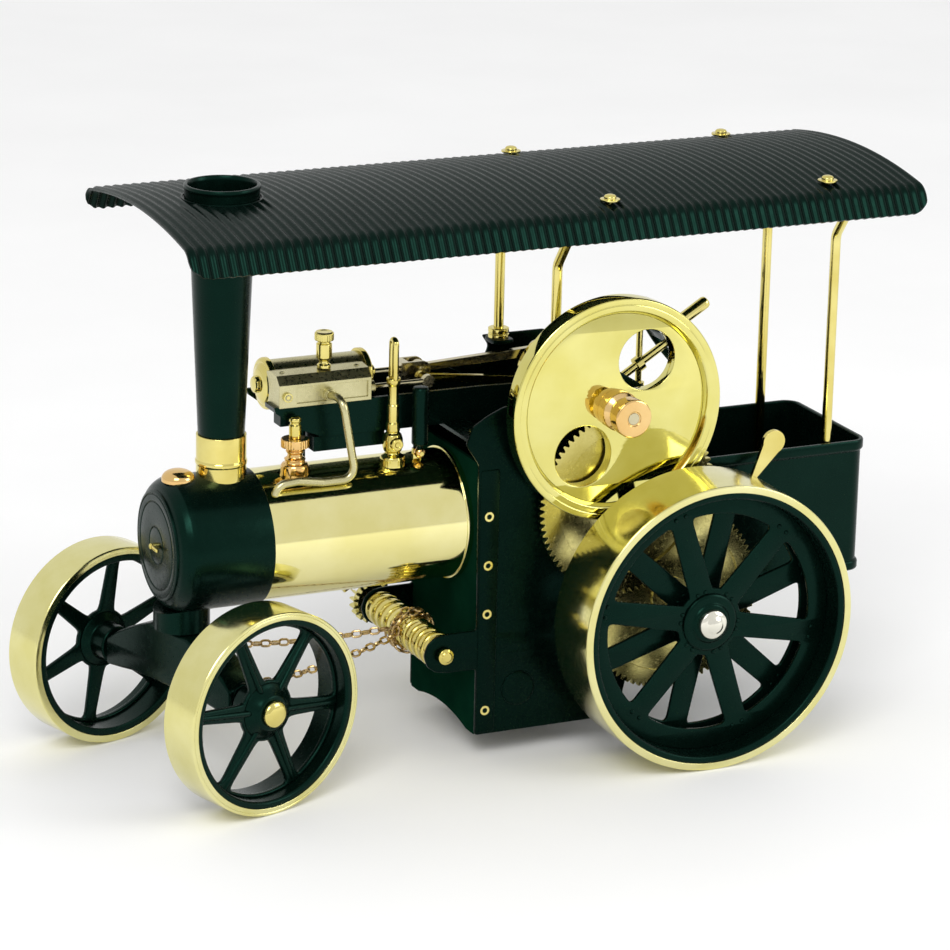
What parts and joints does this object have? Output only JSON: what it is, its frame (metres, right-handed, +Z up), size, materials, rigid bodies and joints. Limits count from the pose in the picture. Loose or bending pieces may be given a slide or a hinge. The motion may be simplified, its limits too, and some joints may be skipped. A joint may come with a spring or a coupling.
{
  "type": "model steam traction engine",
  "caption": "Live-steam model traction engine with a corrugated roof, geared flywheel crank, spoked wheels and chain steering.",
  "frame": {"origin": "on the ground, under the middle of the engine's overall box", "axes": "+X forwards to the smokebox, +Y to the engine's left, +Z up"},
  "size_m": [0.3024, 0.1348, 0.2042],
  "materials": {
    "boiler_brass": "mirror polished",
    "polished_brass": "polished",
    "gear_brass": "satin",
    "black_enamel": "gloss black enamel",
    "roof_enamel": "gloss black enamel, finely corrugated",
    "nickel": "bright",
    "motion_steel": "satin"
  },
  "bodies": {
    "frame": {"side_plate_left": "black_enamel", "side_plate_right": "black_enamel", "firebox_front_plate": "black_enamel", "firebox_rear_plate": "black_enamel", "tender": "black_enamel", "boiler_barrel": "boiler_brass", "smokebox": "black_enamel", "smokebox_door": "black_enamel", "door_handle": "polished_brass", "smokebox_dome": "polished_brass", "chimney": "black_enamel", "chimney_band": "polished_brass", "roof": "roof_enamel", "roof_frame_left": "polished_brass", "roof_frame_right": "polished_brass", "roof_fasteners": "polished_brass", "cylinder_bed": "black_enamel", "cylinder_barrel": "polished_brass", "cylinder_covers": "polished_brass", "valve_chest": "polished_brass", "lubricator": "polished_brass", "steam_pipe": "polished_brass", "safety_valve": "polished_brass", "whistle": "polished_brass", "front_pedestal": "black_enamel", "column_bearings": "polished_brass", "frame_fixings": "polished_brass"},
    "crank": {"crankshaft": "motion_steel", "crank_disc": "polished_brass", "crank_pinion": "gear_brass", "flywheel": "polished_brass", "belt_pulley": "polished_brass"},
    "intermediate": {"lay_gear": "gear_brass"},
    "rear_wheels": {"rear_axle": "motion_steel", "drive_gear": "gear_brass", "rear_wheel_left": "black_enamel", "rear_wheel_right": "black_enamel", "rear_tyre_left": "polished_brass", "rear_tyre_right": "polished_brass", "rear_hub_caps": "nickel"},
    "front_axle": {"front_axle_beam": "black_enamel", "front_axle_pins": "polished_brass", "steering_chain": "black_enamel"},
    "front_left": {"front_wheel_left": "black_enamel", "front_tyre_left": "polished_brass"},
    "front_right": {"front_wheel_right": "black_enamel", "front_tyre_right": "polished_brass"},
    "drum": {"chain_drum": "polished_brass", "drum_wheel": "gear_brass"},
    "column": {"steering_column": "motion_steel", "steering_wheel": "black_enamel", "steering_handle": "polished_brass"},
    "piston": {"piston_rod": "motion_steel"},
    "con_rod": {"connecting_rod": "motion_steel"},
    "valve": {"valve_rod": "motion_steel"},
    "valve_link": {"eccentric_rod": "polished_brass"},
    "safety": {"safety_stem": "polished_brass"},
    "regulator": {"regulator_lever": "black_enamel"},
    "gear_shift": {"gear_lever": "polished_brass"}
  },
  "joints": [
    {"name": "crank_spin", "type": "hinge", "parent": "frame", "child": "crank", "pos_m": [-0.03973, 0, 0.1242], "axis": [0, 1, 0], "continuous": true},
    {"name": "intermediate_spin", "type": "hinge", "parent": "frame", "child": "intermediate", "pos_m": [-0.04843, 0, 0.08886], "axis": [0, 1, 0], "continuous": true},
    {"name": "rear_wheel_spin", "type": "hinge", "parent": "frame", "child": "rear_wheels", "pos_m": [-0.06753, 0, 0.051], "axis": [0, 1, 0], "continuous": true},
    {"name": "steer", "type": "hinge", "parent": "frame", "child": "front_axle", "pos_m": [0.10287, 0, 0.0351], "axis": [0, 0, 1], "range_deg": [-41.7, 8.3], "deforming": ["steering_chain"]},
    {"name": "front_left_spin", "type": "hinge", "parent": "front_axle", "child": "front_left", "pos_m": [0.09037, 0.04167, 0.0351], "axis": [-0.2874, 0.9578, 0], "continuous": true},
    {"name": "front_right_spin", "type": "hinge", "parent": "front_axle", "child": "front_right", "pos_m": [0.11537, -0.04167, 0.0351], "axis": [-0.2874, 0.9578, 0], "continuous": true},
    {"name": "drum_turn", "type": "hinge", "parent": "frame", "child": "drum", "pos_m": [0.01807, 0, 0.0398], "axis": [0, 1, 0], "range_deg": [-174, 35]},
    {"name": "column_turn", "type": "hinge", "parent": "frame", "child": "column", "pos_m": [-0.09773, -0.0335, 0.1246], "axis": [0.8486, 0, -0.5291], "continuous": true},
    {"name": "piston_slide", "type": "slide", "parent": "frame", "child": "piston", "axis": [1, 0, 0], "range_m": [-0.0131, 0.004]},
    {"name": "con_rod_swing", "type": "hinge", "parent": "piston", "child": "con_rod", "pos_m": [0.01017, -0.015, 0.1296], "axis": [0, 1, 0], "range_deg": [-20.1, 1.4]},
    {"name": "valve_slide", "type": "slide", "parent": "frame", "child": "valve", "axis": [1, 0, 0], "range_m": [-0.0036, 0.0008]},
    {"name": "valve_link_swing", "type": "hinge", "parent": "valve", "child": "valve_link", "pos_m": [0.01247, -0.007, 0.1286], "axis": [0, 1, 0], "range_deg": [-0.6, 4.4]},
    {"name": "safety_lift", "type": "slide", "parent": "frame", "child": "safety", "axis": [0, 0, 1], "range_m": [0, 0.0015], "stiffness_N_per_m": 300, "springref_m": -0.001},
    {"name": "regulator_turn", "type": "hinge", "parent": "frame", "child": "regulator", "pos_m": [0.01897, 0.007, 0.1062], "axis": [0, 1, 0], "range_deg": [-25, 5]},
    {"name": "gear_shift_turn", "type": "hinge", "parent": "frame", "child": "gear_shift", "pos_m": [-0.09153, 0.0339, 0.085], "axis": [0, 1, 0], "range_deg": [-18, 18]}
  ],
  "couplings": [
    {"joint": "crank_spin", "follows": "rear_wheel_spin", "ratio": 31.13},
    {"joint": "intermediate_spin", "follows": "rear_wheel_spin", "ratio": -3.4167},
    {"joint": "drum_turn", "follows": "steer", "ratio": 4.15},
    {"joint": "column_turn", "follows": "steer", "ratio": 74.7}
  ]
}
